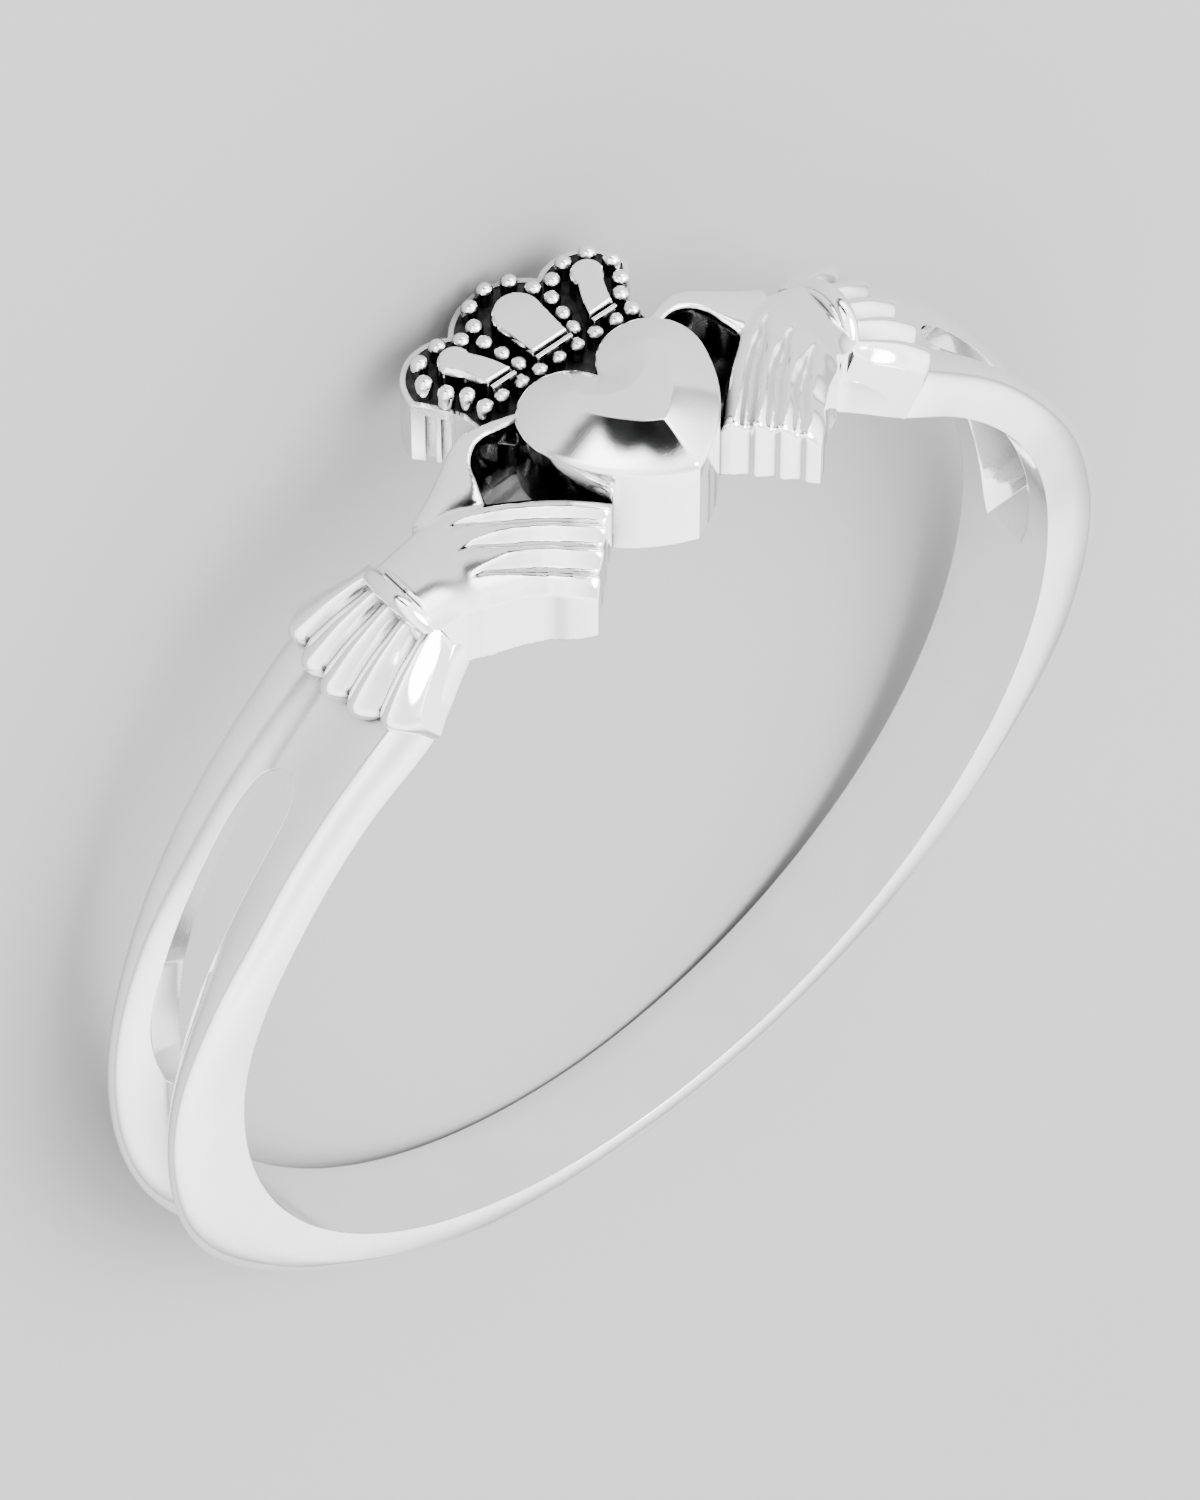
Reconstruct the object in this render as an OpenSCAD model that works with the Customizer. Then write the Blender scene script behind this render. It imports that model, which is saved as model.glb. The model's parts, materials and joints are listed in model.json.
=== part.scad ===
// Claddagh ring: a heart held by two hands under a crown, on a split-shoulder band.
// The ring lies on its side. Its bore axis leans by the angle at which the crown's
// middle lobe and the back of the band both touch the surface it rests on.
// The origin is the centre of the finger bore.
// One casting, so one solid: every module below is a feature of it.

/* [Finger bore] */
// Inside diameter of the ring
bore_d = 17.3; // [15:0.1:21]

/* [Outside] */
// Length of the ring from the face of the heart to the back of the band
ring_l = 20.24; // [20:0.02:20.5]
// Outside width of the ring across the shoulders
outer_w = 20.0; // [19.6:0.1:20.4]
// Length of the head along the finger, from the crown's foot to the fingertips
head_l = 5.64; // [5.5:0.02:5.9]

/* [Band] */
// Width of the band at the back of the finger
back_w = 1.6; // [1.4:0.1:2.2]
// Width of the band where it runs under the head
front_w = 2.9; // [2.6:0.1:3.4]
// Metal thickness at the back
back_t = 0.72; // [0.6:0.02:1]
// Metal thickness at the crest of the two shoulder bars, where they are thickest
shoulder_t = 1.4; // [1.2:0.02:1.6]

/* [Shoulder slots] */
// Width of each slot
slot_w = 0.8; // [0.7:0.05:1]
// Length of each slot along the band
slot_l = 7; // [5:0.1:7]
// Solid length between the cuff and its slot
slot_gap = 1.5; // [1.4:0.1:2.4]

/* [Heart] */
// Width of the heart
heart_w = 3.38; // [3:0.02:3.8]
// Length of the heart, lobes to tip
heart_l = 2.96; // [2.6:0.02:3.3]
// Radius of the heart's long sides
heart_side_r = 2.7; // [2.5:0.1:4]
// How far the tip reaches past the middle of the band
tip_reach = 2.03; // [1.8:0.01:2.3]
// Rise of the domed face above its edge
heart_dome_h = 0.42; // [0.2:0.02:0.6]

/* [Crown] */
// Width across the side lobes
crown_w = 4.46; // [4.2:0.02:4.6]
// Radius of the middle lobe
mid_lobe_r = 1.2; // [1:0.05:1.4]
// Radius of the side lobes
side_lobe_r = 0.84; // [0.75:0.01:0.9]
// Height of the sunk floor above the bore
floor_h = 1.12; // [1:0.02:1.3]
// Rise of the three raised panels above the floor
panel_rise = 0.46; // [0.2:0.02:0.6]
// Diameter of a bead
bead_d = 0.3; // [0.26:0.01:0.34]
// Height of a bead's top above the floor
bead_h = 0.38; // [0.3:0.01:0.44]

/* [Hands] */
// Distance from the middle of the ring to each wrist
wrist_reach = 4.3; // [4:0.05:4.6]
// Distance from the middle of the ring to the index fingertip
finger_reach = 1.2; // [1:0.05:1.4]
// Width that the hand's sections are shares of
hand_w = 2.8; // [2.5:0.05:3.1]
// Height of the back of the hand above the bore
hand_h = 1.62; // [1.4:0.02:1.8]
// Fall of the hand's back towards the little finger
hand_fall = 0.25; // [0.1:0.01:0.4]
// Depth of the grooves between the fingers
groove_depth = 0.24; // [0.1:0.01:0.3]
// Height of the floor between thumb and finger, above the bore
pocket_floor_h = 0.4; // [0.3:0.05:0.6]

/* [Cuffs] */
// Length of a cuff along the band, wristband included
cuff_l = 2.15; // [1.8:0.05:2.5]
// Width of a cuff at its wide end
cuff_w = 3; // [2.6:0.05:3.2]
// Width of a cuff at the wrist
wrist_w = 1.8; // [1.6:0.05:2]
// Width of the wristband across the wrist
wristband_w = 1.72; // [1.6:0.02:1.8]
// Height of the cuff's middle above the bore
cuff_h = 1.34; // [1.25:0.01:1.5]
// Depth of the creases between the flutes
crease_depth = 0.16; // [0.08:0.01:0.2]
// Thickness of the wristband
wristband_d = 0.46; // [0.36:0.02:0.56]

/* [Hidden] */
$fn = 32;

silver = [0.86, 0.86, 0.87];
bore_r = bore_d / 2;
// Walls of the head start this far inside the bore, which then cuts them off.
root_depth = 0.5;
root_r = bore_r - root_depth;
// Clearance of the head's underside from the bore.
head_relief = 0.05;
// Radius at which lengths along the band are taken.
outer_r = bore_r + (back_t + shoulder_t) / 2;
// Reach of a cutter or a block that is larger than the ring.
far = 2 * bore_d;

// Sections of half the band, as shares: place is from the cuff's end to the back,
// width and crest are from the size at the back to the largest, edge and web are of
// the crest's height, and bar is the crest's place from the middle to the side.
band_sections = [
    // place, width, crest, edge, web, bar
    [-0.08, -0.30, -0.56, 0.80, 0.98, 0.60],
    [-0.03, 0.92, 0.06, 0.42, 0.80, 0.70],
    [0.00, 1.00, 0.08, 0.40, 0.78, 0.70],
    [0.05, 0.92, 0.06, 0.43, 0.74, 0.72],
    [0.11, 0.87, 0.10, 0.48, 0.70, 0.73],
    [0.17, 0.81, 0.19, 0.52, 0.66, 0.74],
    [0.25, 0.62, 0.48, 0.50, 0.54, 0.75],
    [0.33, 0.43, 0.78, 0.44, 0.46, 0.75],
    [0.42, 0.33, 0.95, 0.40, 0.44, 0.73],
    [0.48, 0.27, 1.00, 0.39, 0.50, 0.69],
    [0.54, 0.21, 0.92, 0.42, 0.73, 0.64],
    [0.61, 0.15, 0.66, 0.50, 0.91, 0.56],
    [0.72, 0.09, 0.23, 0.60, 0.98, 0.41],
    [0.86, 0.03, 0.09, 0.68, 1.00, 0.24],
    [1.00, 0.00, 0.00, 0.70, 1.00, 0.12]];
band_steps = 60;
band_points = 16;

// Sections of a hand from the fingertips to the wrist, as shares: along is of the
// distance from wrist to index fingertip, across of hand_w, height of hand_h.
hand_sections = [
    // thumb side along, across, little finger side along, across, height, grooves
    [1.04, 0.44, 0.65, 0.82, 0.84, 0.80],
    [0.96, 0.37, 0.60, 0.78, 0.89, 1.00],
    [0.86, 0.27, 0.54, 0.72, 0.93, 1.00],
    [0.73, 0.14, 0.48, 0.64, 0.95, 1.00],
    [0.60, 0.03, 0.44, 0.60, 0.98, 1.00],
    [0.50, -0.05, 0.37, 0.54, 1.00, 0.80],
    [0.40, -0.15, 0.29, 0.48, 1.00, 0.30],
    [0.27, -0.18, 0.22, 0.43, 1.00, 0.00],
    [0.11, -0.21, 0.11, 0.34, 0.95, 0.00],
    [-0.06, -0.24, -0.06, 0.26, 0.89, 0.00]];

// Reach of the fingertips to one side of the band's middle, and of the crown to the other.
fingertip_reach = hand_w * hand_sections[0][3];
crown_reach = head_l - fingertip_reach;

// The back edge and the foot of the middle lobe touch the surface together.
back_edge_r = bore_r + back_t * band_sections[len(band_sections) - 1][3];
rest_tilt = atan((crown_reach - back_w / 2) / (bore_r + back_edge_r));

// Angles along the band, counted from the middle of the head.
wrist_a = asin(wrist_reach / (bore_r + hand_h));
cuff_end_a = wrist_a + deg(cuff_l);
slot_top_a = cuff_end_a + deg(slot_gap);
slot_low_a = slot_top_a + deg(slot_l);

// Angle along the band that covers a length.
function deg(length) = length / outer_r * 180 / PI;
// A point over the head: x across, v towards the heart's tip, h outwards.
function plan_pt(x, v, h) = [x, -h, v];
// A point round the band: radius, angle from the middle of the head, z.
function arc_pt(r, a, z) = [r * sin(a), -r * cos(a), z];
// Height over the head of a surface at radius r from the bore's axis.
function drop_to(r, x) = sqrt(pow(r, 2) - pow(x, 2));
function between(a, b, t) = a + (b - a) * t;
// Ridge from 0 at both edges to 1 in the middle of each of count equal lanes.
function ridge(t, count) = pow(max(0, sin(180 * (t * count - floor(t * count)))), 0.6);
// Value of a table's column at a place in its first column.
function at(table, column, place) = lookup(place, [for (row = table) [row[0], row[column]]]);

// Closed solid between an upper and a lower grid of points of the same size.
module slab(top, bottom) {
    rows = len(top);
    cols = len(top[0]);
    size = rows * cols;
    points = concat([for (r = top) each r], [for (r = bottom) each r]);
    upper = [for (i = [0:rows - 2]) for (j = [0:cols - 2])
        let (a = i * cols + j, b = a + 1, c = a + cols, d = c + 1)
        each [[a, b, d], [a, d, c]]];
    lower = [for (f = upper) [f[2] + size, f[1] + size, f[0] + size]];
    edge = concat(
        [for (j = [0:cols - 2]) [j, j + 1]],
        [for (i = [0:rows - 2]) [i * cols + cols - 1, (i + 1) * cols + cols - 1]],
        [for (j = [cols - 1:-1:1]) [(rows - 1) * cols + j, (rows - 1) * cols + j - 1]],
        [for (i = [rows - 1:-1:1]) [i * cols, (i - 1) * cols]]);
    walls = [for (e = edge) each [[e[1], e[0], e[0] + size], [e[1], e[0] + size, e[1] + size]]];
    polyhedron(points = points, faces = concat(upper, lower, walls), convexity = 8);
}

// Closed solid through a row of loops with the same number of points. A ring joins its
// last loop to its first.
module tube(loops, ring = false) {
    n = len(loops[0]);
    count = len(loops);
    last = (count - 1) * n;
    sides = [for (k = [0:ring ? count - 1 : count - 2]) for (i = [0:n - 1])
        let (a = k * n, b = (k + 1) % count * n, j = (i + 1) % n)
        each [[a + i, b + i, b + j], [a + i, b + j, a + j]]];
    ends = [[for (i = [0:n - 1]) i], [for (i = [n - 1:-1:0]) last + i]];
    polyhedron(
        points = [for (loop = loops) each loop],
        faces = ring ? sides : concat(sides, ends),
        convexity = 8);
}

// Puts a flat plan, x across and y towards the tip, on the head.
module on_head(h) {
    rotate([90, 0, 0]) translate([0, 0, h]) children();
}

module both_sides() {
    children();
    mirror([1, 0, 0]) children();
}

// Band

// Height above the bore at a share u of the half width, from -1 to 1.
function band_height(place, u) =
    let (crest = between(back_t, shoulder_t, at(band_sections, 2, place)),
         edge = crest * at(band_sections, 3, place),
         web = crest * at(band_sections, 4, place),
         bar = at(band_sections, 5, place),
         past = (abs(u) - bar) / (1 - bar))
    abs(u) > bar
        ? between(edge, crest, sqrt(max(0, 1 - pow(past, 2))))
        : between(crest, web, (1 + cos(180 * abs(u) / bar)) / 2);

function band_loop(a) =
    let (place = (min(a, 360 - a) - cuff_end_a) / (180 - cuff_end_a),
         half = between(back_w, front_w, at(band_sections, 1, place)) / 2,
         profile = [for (j = [0:band_points])
             let (u = 1 - 2 * j / band_points)
             arc_pt(bore_r + band_height(place, u), a, half * u)])
    concat([arc_pt(root_r, a, half)], profile, [arc_pt(root_r, a, -half)]);

module band() {
    tube([for (i = [0:band_steps - 1]) band_loop(360 * i / band_steps)], ring = true);
}

// Half the slot's width along its length, from the top to the point of the vee.
slot_shape = [
    // along, half width
    [0.00, 0.30],
    [0.03, 0.64],
    [0.10, 0.90],
    [0.25, 1.00],
    [0.70, 0.96],
    [0.85, 0.84],
    [0.94, 0.60],
    [1.00, 0.30]];

module slot_cut() {
    middle_a = (slot_top_a + slot_low_a) / 2;
    chord = 2 * outer_r * sin((slot_low_a - slot_top_a) / 2);
    near = [for (s = slot_shape) [(s[0] - 0.5) * chord, s[1] * slot_w / 2]];
    count = len(near) - 1;
    rotate([0, 0, middle_a - 90])
        rotate([0, 90, 0]) rotate([0, 0, 90])
            linear_extrude(far)
                polygon(concat(near, [for (i = [count:-1:0]) [near[i][0], -near[i][1]]]));
}

// Heart

heart_edge_h = ring_l - bore_d - back_t - heart_dome_h;
lobe_r = heart_w * 0.26;
lobe_x = heart_w / 2 - lobe_r;
lobe_v = tip_reach - heart_l + lobe_r;
heart_middle = [0, lobe_v + heart_l * 0.17];
tip_pt = [0, tip_reach];
lobe_pt = [lobe_x, lobe_v];
tip_to_lobe = lobe_pt - tip_pt;
lobe_span = norm(tip_to_lobe);
// The long side is an arc through the tip that meets the lobe without a corner.
side_turn = acos((pow(heart_side_r, 2) + pow(lobe_span, 2) - pow(heart_side_r - lobe_r, 2))
    / (2 * heart_side_r * lobe_span));
lobe_dir = atan2(tip_to_lobe[1], tip_to_lobe[0]);
side_pt = tip_pt + heart_side_r * [cos(lobe_dir - side_turn), sin(lobe_dir - side_turn)];
join_a = atan2(lobe_v - side_pt[1], lobe_x - side_pt[0]);
tip_a = atan2(tip_reach - side_pt[1], -side_pt[0]);
cleft_a = -180 + acos(lobe_x / lobe_r);

function heart_half() = concat(
    [for (i = [0:11]) let (a = between(cleft_a, join_a, i / 11))
        lobe_pt + lobe_r * [cos(a), sin(a)]],
    [for (i = [1:6]) let (a = between(join_a, tip_a, i / 6))
        side_pt + heart_side_r * [cos(a), sin(a)]]);

heart_outline = let (half = heart_half(), n = len(half) - 1)
    concat(half, [for (i = [n - 1:-1:1]) [-half[i][0], half[i][1]]]);

// Rings of the domed face, from the edge inwards.
heart_rings = [
    // size, rise
    [1.00, 0.00],
    [0.95, 0.24],
    [0.86, 0.52],
    [0.68, 0.82],
    [0.42, 0.96],
    [0.15, 1.00]];

module heart() {
    edge_h = bore_r + heart_edge_h;
    tube(concat(
        [[for (p = heart_outline) plan_pt(p[0], p[1], root_r)]],
        [for (ring = heart_rings)
            [for (p = heart_outline)
                let (q = heart_middle + (p - heart_middle) * ring[0])
                plan_pt(q[0], q[1], edge_h + heart_dome_h * ring[1])]]));
}

// Crown

bead_r = bead_d / 2;
mid_lobe_v = -crown_reach + mid_lobe_r;
side_lobe_x = crown_w / 2 - side_lobe_r;
side_lobe_v = mid_lobe_v - mid_lobe_r * 0.06;
crown_foot_v = lobe_v - lobe_r * 0.9;
crown_foot_x = crown_w * 0.39;
floor_r = bore_r + floor_h;

// Beads of one half of the crown, as shares of half its width and of its length from
// the foot to the top of the middle lobe.
bead_spots = [
    // across, along
    [0.00, 0.19],
    [0.17, 0.19],
    [0.34, 0.19],
    [0.52, 0.19],
    [0.67, 0.19],
    [0.25, 0.31],
    [0.28, 0.44],
    [0.31, 0.58],
    [0.27, 0.72],
    [0.42, 0.69],
    [0.58, 0.75],
    [0.77, 0.72],
    [0.86, 0.58],
    [0.80, 0.43],
    [0.70, 0.33],
    [0.18, 0.86],
    [0.00, 0.91]];

function crown_v(along) = between(crown_foot_v, -crown_reach, along);

module crown_outline() {
    difference() {
        union() {
            translate([0, mid_lobe_v]) circle(mid_lobe_r);
            both_sides() translate([side_lobe_x, side_lobe_v]) circle(side_lobe_r);
            polygon([
                [-side_lobe_x, side_lobe_v + side_lobe_r * 0.9],
                [-crown_foot_x, crown_foot_v],
                [-crown_foot_x * 0.6, lobe_v],
                [crown_foot_x * 0.6, lobe_v],
                [crown_foot_x, crown_foot_v],
                [side_lobe_x, side_lobe_v + side_lobe_r * 0.9],
                [0, side_lobe_v]]);
        }
        // The flanks run almost straight from the side lobes to the foot.
        both_sides()
            polygon([
                [crown_w, side_lobe_v],
                [crown_w * 0.49, side_lobe_v],
                [crown_w * 0.43, side_lobe_v + side_lobe_r * 0.5],
                [crown_foot_x, crown_foot_v],
                [crown_w, crown_foot_v]]);
    }
}

// Panel with a flat foot and a round head, leaning from foot to head.
module panel(foot_x, head_x, foot_half, head_r, foot_v, head_v) {
    top = floor_r + panel_rise;
    on_head(root_r)
        linear_extrude(top - root_r)
            union() {
                translate([head_x, head_v]) circle(head_r);
                polygon([
                    [foot_x - foot_half, foot_v],
                    [foot_x + foot_half, foot_v],
                    [head_x + head_r * 0.98, head_v + head_r * 0.2],
                    [head_x - head_r * 0.98, head_v + head_r * 0.2]]);
            }
}

// Bead on a post that stands on the floor.
module bead(x, v) {
    middle_r = floor_r + bead_h - bead_r;
    translate(plan_pt(x, v, middle_r)) sphere(bead_r, $fn = 10);
    on_head(floor_r - bead_r)
        translate([x, v]) cylinder(r = bead_r * 0.95, h = middle_r - floor_r + bead_r, $fn = 10);
}

module crown() {
    panel_foot_v = crown_v(0.26);
    on_head(root_r) linear_extrude(floor_r - root_r) crown_outline();
    panel(0, 0, crown_w * 0.08, crown_w * 0.097, panel_foot_v, mid_lobe_v - mid_lobe_r * 0.13);
    both_sides() {
        panel(crown_w * 0.231, side_lobe_x - bead_r * 0.3, crown_w * 0.053, side_lobe_r * 0.37,
              panel_foot_v, side_lobe_v);
        for (spot = bead_spots) bead(spot[0] * crown_w / 2, crown_v(spot[1]));
    }
}

// Hands

finger_count = 4;
finger_steps = 4;
// The back of the hand is highest at this share of its width, from the thumb's side.
hand_crest = 0.35;

// Sections of the thumb from its tip to its root, as shares of the same sizes.
thumb_sections = [
    // outer side along, across, inner side along, across, height, grooves
    [0.99, -0.31, 0.99, -0.25, 0.96, 0.00],
    [0.89, -0.35, 0.89, -0.27, 0.98, 0.00],
    [0.77, -0.39, 0.77, -0.30, 1.00, 0.00],
    [0.68, -0.41, 0.69, -0.28, 1.02, 0.00],
    [0.58, -0.38, 0.62, -0.21, 1.02, 0.00],
    [0.49, -0.33, 0.58, -0.09, 1.02, 0.00],
    [0.37, -0.27, 0.52, 0.03, 1.01, 0.00],
    [0.22, -0.22, 0.36, 0.08, 0.99, 0.00]];

function hand_x(along) = between(wrist_reach, finger_reach, along);

function hand_row(section, steps, fall) =
    [for (j = [0:steps])
        let (t = j / steps,
             x = between(hand_x(section[0]), hand_x(section[2]), t),
             v = hand_w * between(section[1], section[3], t),
             rim = fall * pow((t - hand_crest) / (1 - hand_crest), 2) + hand_h * 0.08 * pow(2 * t - 1, 8),
             groove = groove_depth * section[5] * (1 - ridge(t, finger_count)),
             r = bore_r + hand_h * section[4] - rim - groove)
        plan_pt(x, v, drop_to(r, x))];

function root_row(row) = [for (p = row) plan_pt(p[0], p[2], drop_to(root_r, p[0]))];

module hand() {
    palm = [for (s = hand_sections) hand_row(s, finger_count * finger_steps, hand_fall)];
    thumb = [for (s = thumb_sections) hand_row(s, finger_steps, 0)];
    slab(palm, [for (row = palm) root_row(row)]);
    slab(thumb, [for (row = thumb) root_row(row)]);
}

// Floor under the pockets between thumb and finger, and under the gaps beside the heart.
module pocket_floor() {
    intersection() {
        cylinder(r = bore_r + pocket_floor_h, h = far, center = true, $fn = 96);
        on_head(root_r)
            linear_extrude(bore_d)
                polygon([
                    [-wrist_reach, -wrist_w / 2],
                    [-finger_reach, lobe_v - lobe_r],
                    [finger_reach, lobe_v - lobe_r],
                    [wrist_reach, -wrist_w / 2],
                    [wrist_reach, wrist_w / 2],
                    [finger_reach * 1.6, wrist_w / 2],
                    [finger_reach, wrist_w * 0.7],
                    [-finger_reach, wrist_w * 0.7],
                    [-finger_reach * 1.6, wrist_w / 2],
                    [-wrist_reach, wrist_w / 2]]);
    }
}

// Cuffs

// Band round the wrist, a solid disc with a thick rim and a thin one on the hand's side.
module wristband() {
    crest_r = bore_r + hand_h * 1.06;
    thick_r = wristband_d / 2;
    thin_r = thick_r * 0.45;
    loop_r = wristband_w / 2 - thick_r;
    rotate([0, 0, wrist_a + deg(thick_r)])
        translate([0, loop_r + thick_r - crest_r, 0])
            rotate([0, 90, 0])
                rotate_extrude($fn = 28)
                    union() {
                        translate([loop_r, 0]) circle(thick_r, $fn = 14);
                        translate([loop_r + thin_r * 0.7, -thick_r - thin_r * 0.6]) circle(thin_r, $fn = 8);
                        translate([0, -thick_r - thin_r]) square([loop_r, 2 * thick_r + thin_r]);
                    }
}

// Shares of the cuff along its length, from the wristband to the scalloped end.
flute_count = 5;
flute_steps = 4;
cuff_sections = [
    // along, width, height, crease
    [0.00, 0.00, 1.00, 0.3],
    [0.20, 0.20, 1.02, 0.9],
    [0.50, 0.50, 1.02, 1.0],
    [0.80, 0.80, 0.98, 1.0],
    [0.93, 0.93, 0.95, 1.0],
    [1.00, 1.00, 0.86, 0.8]];

module cuff() {
    start_a = wrist_a + deg(wristband_d) * 0.4;
    steps = flute_count * flute_steps;
    top = [for (s = cuff_sections)
        [for (j = [0:steps])
            let (t = j / steps,
                 flute = ridge(t, flute_count),
                 bow = 1 - pow(2 * t - 1, 2),
                 end_a = cuff_end_a - deg(cuff_l) * (0.2 * (1 - bow) + 0.05 * (1 - flute)),
                 width = between(wrist_w, cuff_w, s[1]),
                 r = bore_r + cuff_h * s[2] * between(0.84, 1, bow) - crease_depth * s[3] * (1 - flute))
            arc_pt(r, between(start_a, end_a, s[0]), (t - 0.5) * width)]];
    slab(top, [for (row = top)
        [for (p = row) [p[0], p[1], 0] * root_r / norm([p[0], p[1]]) + [0, 0, p[2]]]]);
}

// The band with its slots. It runs on as a thin strip under the head.
module slotted_band() {
    resize([outer_w, 0, 0])
        difference() {
            band();
            both_sides() slot_cut();
        }
}

// Everything that the head adds, cut off just outside the bore.
module head() {
    resize([0, 0, head_l])
        difference() {
            union() {
                heart();
                crown();
                pocket_floor();
                both_sides() {
                    hand();
                    wristband();
                    cuff();
                }
            }
            cylinder(r = bore_r + head_relief, h = far, center = true, $fn = 120);
        }
}

module ring() {
    color(silver)
        rotate([-rest_tilt, 0, 0])
            union() {
                difference() {
                    slotted_band();
                    cylinder(r = bore_r, h = far, center = true, $fn = 180);
                }
                head();
            }
}

ring();
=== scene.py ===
"""Looks of a claddagh ring: a heart held by two hands under a crown, on a split-shoulder band.

Shapes are laid out in millimetres on the ring's own axes, with the bore along z, the head
towards -y and the heart's tip towards +z. to_row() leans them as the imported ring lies.
"""

import json
import math

import bmesh
import bpy
import numpy as np
from mathutils import Matrix, Vector


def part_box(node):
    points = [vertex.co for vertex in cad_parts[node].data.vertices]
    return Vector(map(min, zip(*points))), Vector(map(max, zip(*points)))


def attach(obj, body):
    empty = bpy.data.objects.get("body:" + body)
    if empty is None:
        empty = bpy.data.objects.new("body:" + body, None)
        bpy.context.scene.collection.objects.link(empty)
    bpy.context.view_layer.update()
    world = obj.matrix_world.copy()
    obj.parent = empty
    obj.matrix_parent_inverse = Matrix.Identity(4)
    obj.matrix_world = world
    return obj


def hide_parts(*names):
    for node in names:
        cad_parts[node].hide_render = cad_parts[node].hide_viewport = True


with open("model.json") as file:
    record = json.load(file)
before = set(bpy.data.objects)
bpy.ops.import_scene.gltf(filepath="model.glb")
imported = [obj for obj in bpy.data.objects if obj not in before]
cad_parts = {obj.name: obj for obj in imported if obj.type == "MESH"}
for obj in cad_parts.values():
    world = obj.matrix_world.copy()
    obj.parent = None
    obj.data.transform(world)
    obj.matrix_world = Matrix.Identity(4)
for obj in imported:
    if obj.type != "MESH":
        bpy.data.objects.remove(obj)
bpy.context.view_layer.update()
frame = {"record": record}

MM = 0.001

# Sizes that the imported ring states
bore = next(m for m in frame["record"]["mounts"] if m["name"] == "finger_bore")
BORE_R = bore["dims"]["r_mm"]
TILT = math.atan2(bore["axis"][1], bore["axis"][2])
FLOOR_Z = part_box("ring")[0].z
OUTER_W = (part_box("ring")[1].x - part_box("ring")[0].x) / MM

# Sizes in millimetres. W is a width, L a length, D a depth, T a thickness, H a height, R a radius,
# A an angle in degrees, X a place across the head and V a place along it.

# Band
BACK_W, FRONT_W = 1.6, 2.9
BACK_T, SHOULDER_T = 0.72, 1.4
MEAN_R = BORE_R + (BACK_T + SHOULDER_T) / 2
SLOT_OUT_W, SLOT_IN_W = 0.86, 1.42
SLOT_LIP_A = 4
# How far the undersides of the pieces on the band stay clear of the bore
RELIEF = 0.05

# Heart
HEART_W, HEART_L, TIP_REACH = 3.38, 2.96, 2.03
HEART_EDGE_R, HEART_RISE = BORE_R + 1.78, 0.48
HEART_SIDE_R, HEART_RIM = 2.7, 0.06
SLOPE_W, SLOPE_EASE = 0.76, 0.2
LOBE_R = HEART_W * 0.26
LOBE_X, LOBE_V = HEART_W / 2 - LOBE_R, TIP_REACH - HEART_L + LOBE_R

# Crown
CROWN_W, CROWN_REACH = 4.46, 3.344
MID_LOBE_R, SIDE_LOBE_R = 1.2, 0.84
MID_V = MID_LOBE_R - CROWN_REACH
SIDE_X, SIDE_V = CROWN_W / 2 - SIDE_LOBE_R, MID_V - MID_LOBE_R * 0.06
CROWN_FOOT_V = LOBE_V - LOBE_R * 0.9
CROWN_FOOT_X = CROWN_W * 0.39
CROWN_FLOOR_R = BORE_R + 1.12
RIM_W, FLOOR_SINK, PANEL_RISE = 0.09, 0.03, 0.5
RECESS_W, RECESS_STEP, RECESS_DEPTH = 0.18, 0.13, 0.04
BEAD_R, BEAD_H = 0.15, 0.38

# Hands, which are highest at HAND_CREST of their width and fall away from there
WRIST_X, FINGER_X = 4.3, 1.2
HAND_W, HAND_H = 2.8, 1.62
HAND_CREST, HAND_FALL, EDGE_ROUND = 0.35, 0.25, 0.08
TIP_NOTCH, TIP_DROP = 0.022, 0.05
FINGERS = 4
GROOVE_DEPTH = 0.16
POCKET_R = BORE_R + 0.4

# Cuffs
CUFF_L, CUFF_W, WRIST_W, CUFF_H = 2.15, 3.0, 1.8, 1.34
FLUTES, CREASE_DEPTH = 5, 0.2
WRISTBAND_D, WRISTBAND_W = 0.46, 1.72


def deg(length):
    """Angle along the band that covers a length."""
    return math.degrees(length / MEAN_R)


WRIST_A = math.degrees(math.asin(WRIST_X / (BORE_R + HAND_H)))
CUFF_END_A = WRIST_A + deg(CUFF_L)
SLOT_TOP_A = CUFF_END_A + deg(1.5)
SLOT_LOW_A = SLOT_TOP_A + deg(7)

# Sections of half the band from the cuff to the back, as shares of the sizes above:
# place, width, crest, edge, web, bar
BAND = [
    (-0.08, 0.30, 0.00, 0.60, 0.90, 0.60),
    (-0.03, 0.92, 0.06, 0.42, 0.80, 0.70),
    (0.00, 1.00, 0.08, 0.40, 0.78, 0.70),
    (0.05, 0.92, 0.06, 0.43, 0.74, 0.72),
    (0.11, 0.87, 0.10, 0.48, 0.70, 0.73),
    (0.17, 0.81, 0.19, 0.52, 0.66, 0.74),
    (0.25, 0.62, 0.48, 0.50, 0.54, 0.75),
    (0.33, 0.43, 0.78, 0.44, 0.46, 0.75),
    (0.42, 0.33, 0.95, 0.40, 0.44, 0.73),
    (0.48, 0.27, 1.00, 0.39, 0.50, 0.69),
    (0.54, 0.21, 0.92, 0.42, 0.73, 0.64),
    (0.61, 0.15, 0.66, 0.50, 0.91, 0.56),
    (0.72, 0.09, 0.23, 0.60, 0.98, 0.41),
    (0.86, 0.03, 0.09, 0.68, 1.00, 0.24),
    (1.00, 0.00, 0.00, 0.70, 1.00, 0.12),
]

# Slot from its top to its lower end: along, half width
SLOT = [
    (0.00, 0.20),
    (0.03, 0.64),
    (0.10, 0.90),
    (0.25, 1.00),
    (0.70, 0.96),
    (0.85, 0.84),
    (0.94, 0.60),
    (1.00, 0.20),
]

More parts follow.
